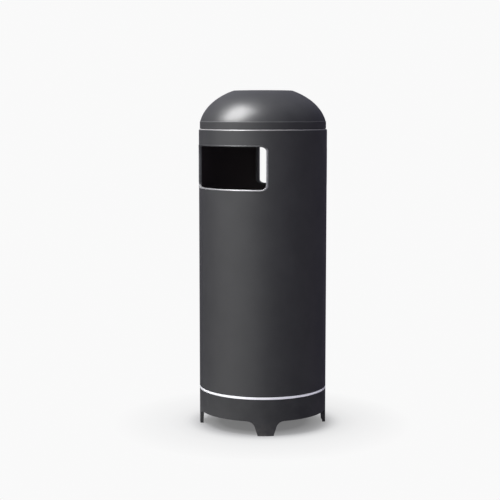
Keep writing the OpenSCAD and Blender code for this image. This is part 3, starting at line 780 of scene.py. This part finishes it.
# the room that the paint mirrors is brightest at the front left and dim at the right
room = {"heading": (-0.75, 0.66), "white": 0.95, "level": 1.15, "sky": (0.06, 0.074, 0.112), "skyFull": 0.9,
        "tones": [(0.0, (0.062, 0.056, 0.085)), (0.14, (0.115, 0.105, 0.135)), (0.26, (0.115, 0.107, 0.135)),
                  (0.5, (0.097, 0.094, 0.115)), (0.78, (0.28, 0.28, 0.30)), (1.0, (1.0, 1.0, 1.0))]}
# share of white on the floor by distance from the axis, in parts of the reach; it falls near the feet, a
# painted shadow there on top of the lamps' real shadow
floorLook = {"size": 400, "colour": (0.195, 0.195, 0.2), "grain": 1.01, "grainScale": 8,
             "bounce": (0.42, 0.42, 0.43), "reach": 0.5,
             "paintedShadowShare": [(0.0, 0.16), (0.28, 0.18), (0.32, 0.24), (0.38, 0.31), (0.42, 0.38), (0.46, 0.57),
                       (0.5, 0.73), (0.54, 0.81), (0.64, 0.88), (1.0, 1.0)]}


def along(w, place, line):
    return w.add("ShaderNodeVectorMath", {"operation": "DOT_PRODUCT"}, {0: place, 1: tuple(line)}, "Value")


def roomTone(w, way):
    heading = right * room["heading"][0] + back * room["heading"][1]
    facing = along(w, way, heading) * 0.5 + 0.5  # from -1..1 to 0..1
    wall = w.add("ShaderNodeValToRGB", {"stops": room["tones"]}, {0: facing})
    up = along(w, way, (0, 0, 1)).step(0, room["skyFull"])
    return w.add("ShaderNodeMix", {"data_type": "RGBA", "blend_type": "ADD"},
                 {0: up, 6: wall, 7: (*room["sky"], 1.0)}, 2)


def rayIs(w, kind):
    return w.add("ShaderNodeLightPath", out="Is " + kind + " Ray")


def seenDirectly(w):
    return rayIs(w, "Camera") | rayIs(w, "Transmission")


# white paper to the camera, with a painted shadow round the feet that mixes with the lamps' real shadow;
# reflections see the room's tones on it
def makeFloor():
    startFresh()
    bpy.ops.mesh.primitive_plane_add(size=floorLook["size"])
    floor = bpy.context.object
    floor.name = "floor"
    mat, w = newMaterial("floorSheet")
    place, (x, y, z) = coords(w)
    stops = [(r, (share, share, share)) for r, share in floorLook["paintedShadowShare"]]
    beyondPaintedShadow = w.add("ShaderNodeValToRGB", {"stops": stops}, {0: distance(x, y) / floorLook["reach"]})
    grain = tuple(c * floorLook["grain"] for c in floorLook["colour"])
    tone = mixColour(w, noise(w, place, floorLook["grainScale"], 2), floorLook["colour"], grain)
    # the camera sees the floor darker than the light it bounces, which deepens the painted shadow round the
    # feet
    matt = w.add("ShaderNodeBsdfDiffuse", None,
                 {"Color": mixColour(w, seenDirectly(w), floorLook["bounce"], tone)})
    white = w.add("ShaderNodeEmission", None, {"Color": (1, 1, 1, 1), "Strength": room["white"]})
    way = w.add("ShaderNodeVectorMath", {"operation": "NORMALIZE"}, {0: place}, "Vector")
    mirrored = w.add("ShaderNodeEmission", None, {"Color": roomTone(w, way), "Strength": room["level"]})
    shown = w.add("ShaderNodeMixShader", None, {0: beyondPaintedShadow * seenDirectly(w), 1: matt, 2: white})
    mix = w.add("ShaderNodeMixShader", None, {0: beyondPaintedShadow * rayIs(w, "Glossy"), 1: shown, 2: mirrored})
    w.add("ShaderNodeOutputMaterial", None, {"Surface": mix})
    floor.data.materials.append(mat)


makeFloor()

# a softbox, a flap on it that shows in the gloss alone, and three bounce cards that don't show there
lamps = [
    {"name": "key", "aside": -1.2, "forward": 0.65, "height": 2.75, "aim": 1.0, "size": (1.3, 1.3),
     "power": 114, "tint": (1, 1, 1), "mirrored": True, "lights": True},
    {"name": "flap", "aside": -1.67, "forward": 0.9, "height": 2.13, "aim": 1.03, "size": (1.3, 0.45),
     "power": 39, "tint": (1, 1, 1), "mirrored": True, "lights": False},
    {"name": "fill", "aside": 1.7, "forward": 2.2, "height": 0.8, "aim": 0.4, "size": (1.3, 1.3),
     "power": 15, "tint": (0.88, 0.82, 1.0), "mirrored": False, "lights": True},
    {"name": "rear", "aside": -0.4, "forward": -2.6, "height": 1.5, "aim": 0.6, "size": (1.6, 1.6),
     "power": 45, "tint": (1, 1, 1), "mirrored": False, "lights": True},
    {"name": "ceiling", "aside": 0.0, "forward": -0.7, "height": 3.4, "aim": 0.4, "size": (3.4, 3.4),
     "power": 75, "tint": (1, 1, 1), "mirrored": False, "lights": True},
]


def hangLamp(look):
    place = right * look["aside"] + back * look["forward"] + Vector((0, 0, look["height"]))
    aim = Vector((0, 0, look["aim"])) - place
    bpy.ops.object.light_add(type="AREA", location=place, rotation=aim.to_track_quat("-Z", "Y").to_euler())
    lamp = bpy.context.object
    lamp.name = look["name"]
    lamp.data.shape = "RECTANGLE"
    lamp.data.size, lamp.data.size_y = look["size"]
    lamp.data.energy = look["power"]
    lamp.data.color = look["tint"]
    lamp.visible_glossy = look["mirrored"]
    lamp.visible_diffuse = look["lights"]


for look in lamps:
    hangLamp(look)


def lightRoom():
    world = bpy.context.scene.world or bpy.data.worlds.new("studio")
    bpy.context.scene.world = world
    world.use_nodes = True
    world.node_tree.nodes.clear()
    w = Wire(world.node_tree)
    tone = roomTone(w, w.add("ShaderNodeTexCoord", out="Generated"))
    soft = w.add("ShaderNodeBackground", None, {"Color": tone, "Strength": room["level"]})
    white = w.add("ShaderNodeBackground", None, {"Color": (1, 1, 1, 1), "Strength": room["white"]})
    mix = w.add("ShaderNodeMixShader", None, {0: seenDirectly(w), 1: soft, 2: white})
    w.add("ShaderNodeOutputWorld", None, {"Surface": mix})


lightRoom()
bpy.context.scene.view_settings.view_transform = "Standard"
print("studio ready")
